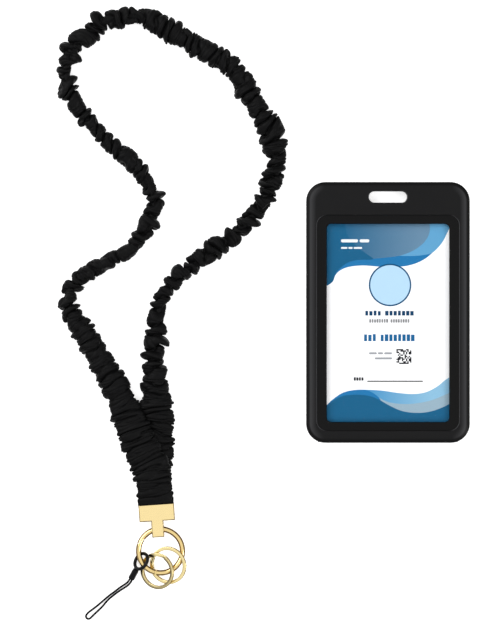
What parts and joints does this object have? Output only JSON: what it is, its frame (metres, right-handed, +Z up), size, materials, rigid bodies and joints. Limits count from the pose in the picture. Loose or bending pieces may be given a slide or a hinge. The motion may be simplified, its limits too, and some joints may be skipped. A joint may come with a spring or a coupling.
{
  "type": "lanyard badge holder",
  "caption": "Ruched fabric neck lanyard with a ribbon clamp, a spring-gate ring, split key rings and a phone tether, beside a rigid vertical badge holder with a card.",
  "frame": {"origin": "centre of the footprint on the table, measured without the tether's thin cord", "axes": "+Z up from the table towards the viewer, +Y from the rings towards the neck end of the strap, +X from the strap towards the badge holder"},
  "size_m": [0.2274, 0.3375, 0.0109],
  "materials": {
    "strap_fabric": "black matt-satin ruched fabric",
    "elastic": "black woven elastic cord",
    "gold_clamp": "polished pale gold plate",
    "gold_ring": "polished gold plate",
    "gold_key_ring": "polished pale gold plate",
    "spring_steel": "bright drawn wire",
    "tether_plastic": "black satin moulding",
    "tether_cord": "black braided cord",
    "holder_plastic": "fine matt black moulding",
    "clear_window": "clear polished acrylic",
    "card_print": "white card printed with blue waves"
  },
  "bodies": {
    "lanyard": {"strap_loop": "strap_fabric", "strap_core": "elastic", "strap_end_left": "strap_fabric", "strap_end_right": "strap_fabric", "ribbon_clamp": "gold_clamp"},
    "gate_ring": {"gate_ring_body": "gold_ring", "gate_hinge_pin": "gold_ring"},
    "gate": {"gate_arm": "gold_ring", "gate_spring": "spring_steel"},
    "key_ring_left": {"key_ring_left": "gold_key_ring"},
    "key_ring_right": {"key_ring_right": "gold_key_ring"},
    "tether": {"tether_ring": "tether_plastic", "tether_sleeve": "tether_plastic", "tether_cord": "tether_cord"},
    "holder": {"holder_frame": "holder_plastic", "window_lens": "clear_window"},
    "card_tray": {"rear_cover": "holder_plastic", "id_card": "card_print"}
  },
  "joints": [
    {"name": "ring_swing", "type": "hinge", "parent": "lanyard", "child": "gate_ring", "pos_m": [-0.05804, -0.12824, 0.0054], "axis": [0.9976, 0.0698, 0], "range_deg": [-110, 110]},
    {"name": "gate_open", "type": "hinge", "parent": "gate_ring", "child": "gate", "pos_m": [-0.06052, -0.15139, 0.0054], "axis": [0, 0, -1], "range_deg": [0, 17], "stiffness_Nm_per_rad": 0.002, "springref_deg": -5.73},
    {"name": "key_ring_left_spin", "type": "hinge", "parent": "gate", "child": "key_ring_left", "pos_m": [-0.0584, -0.151, 0.0055], "axis": [-0.4427, -0.1417, 0.8854], "continuous": true},
    {"name": "key_ring_right_spin", "type": "hinge", "parent": "gate", "child": "key_ring_right", "pos_m": [-0.0524, -0.1479, 0.0054], "axis": [-0.3104, -0.1364, 0.9408], "continuous": true},
    {"name": "tether_travel", "type": "hinge", "parent": "gate", "child": "tether", "pos_m": [-0.0566, -0.14, 0.0054], "axis": [0, 0, -1], "range_deg": [0, 28]},
    {"name": "holder_lift", "type": "slide", "parent": "lanyard", "child": "holder", "axis": [0, 0, 1], "range_m": [0, 0.1]},
    {"name": "cover_slide", "type": "slide", "parent": "holder", "child": "card_tray", "axis": [0, -1, 0], "range_m": [0, 0.12]}
  ]
}
